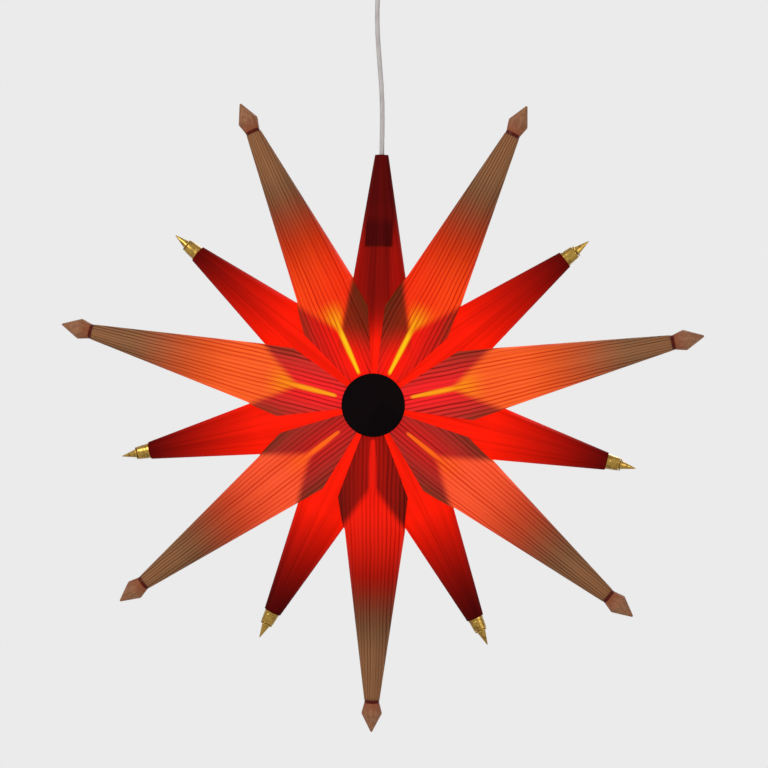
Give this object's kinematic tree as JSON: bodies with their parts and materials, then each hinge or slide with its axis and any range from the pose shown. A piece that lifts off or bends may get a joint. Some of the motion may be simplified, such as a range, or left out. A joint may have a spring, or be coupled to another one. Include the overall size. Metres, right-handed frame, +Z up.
{
  "type": "illuminated hanging star",
  "caption": "Hanging christmas star lantern with long veneer points, red film points, brass and wood tips, a lamp inside, and a cord from a ceiling canopy.",
  "frame": {"origin": "middle of the ceiling plate's upper face", "axes": "+Z up to the ceiling, +X to the star's right seen from the front, the star's front faces -Y"},
  "size_m": [0.6634, 0.101, 0.86],
  "materials": {
    "veneer": "satin striped veneer",
    "turned_wood": "matt turned wood",
    "red_ring": "dark red satin",
    "red_film": "satin, lengthwise streaks",
    "brass": "polished",
    "hub_plastic": "matt",
    "steel": "zinc plated",
    "black_cap": "matt",
    "holder_plastic": "satin",
    "nickel": "nickel plated",
    "bulb_glass": "clear",
    "filament": "phosphor coated",
    "cord_sheath": "satin pale sheath",
    "white_plastic": "satin white"
  },
  "bodies": {
    "ceiling_mount": {"ceiling_plate": "steel", "cord_clamp": "white_plastic", "clamp_screw": "steel", "terminal_block": "white_plastic", "cord": "cord_sheath"},
    "canopy": {"canopy": "white_plastic", "canopy_grip": "white_plastic"},
    "star": {"veneer_front_1": "veneer", "veneer_back_1": "veneer", "wood_tip_1": "turned_wood", "veneer_front_2": "veneer", "veneer_back_2": "veneer", "wood_tip_2": "turned_wood", "veneer_front_3": "veneer", "veneer_back_3": "veneer", "wood_tip_3": "turned_wood", "veneer_front_4": "veneer", "veneer_back_4": "veneer", "wood_tip_4": "turned_wood", "veneer_front_5": "veneer", "veneer_back_5": "veneer", "wood_tip_5": "turned_wood", "veneer_front_6": "veneer", "veneer_back_6": "veneer", "wood_tip_6": "turned_wood", "veneer_front_7": "veneer", "veneer_back_7": "veneer", "wood_tip_7": "turned_wood", "tip_rings": "red_ring", "red_point_1": "red_film", "brass_tip_1": "brass", "red_point_2": "red_film", "brass_tip_2": "brass", "red_point_3": "red_film", "brass_tip_3": "brass", "red_point_4": "red_film", "brass_tip_4": "brass", "red_point_5": "red_film", "brass_tip_5": "brass", "red_point_6": "red_film", "brass_tip_6": "brass", "top_red_point": "red_film", "front_hub_ring": "hub_plastic", "back_hub_ring": "hub_plastic", "hub_posts": "hub_plastic", "hub_screws": "steel", "back_cap": "black_cap", "holder_body": "holder_plastic", "holder_cap": "holder_plastic", "holder_thread_shell": "steel", "holder_contact": "brass", "inner_lead": "cord_sheath", "cord_bush": "holder_plastic"},
    "front_cap": {"front_cap": "black_cap"},
    "bulb": {"bulb_glass": "bulb_glass", "bulb_screw_cap": "nickel", "bulb_contact": "nickel", "bulb_stem": "bulb_glass", "bulb_filaments": "filament"}
  },
  "joints": [
    {"name": "canopy_slide", "type": "slide", "parent": "ceiling_mount", "child": "canopy", "axis": [0, 0, 1], "range_m": [-0.05, 0]},
    {"name": "star_turn", "type": "hinge", "parent": "ceiling_mount", "child": "star", "pos_m": [0.0072, 0, -0.265], "axis": [0, 0, 1], "range_deg": [-180, 180]},
    {"name": "cap_pull", "type": "slide", "parent": "star", "child": "front_cap", "axis": [0, -1, 0], "range_m": [0, 0.04]},
    {"name": "bulb_turn", "type": "hinge", "parent": "star", "child": "bulb", "pos_m": [0.0072, 0, -0.34], "axis": [0, 0, 1], "continuous": true}
  ]
}
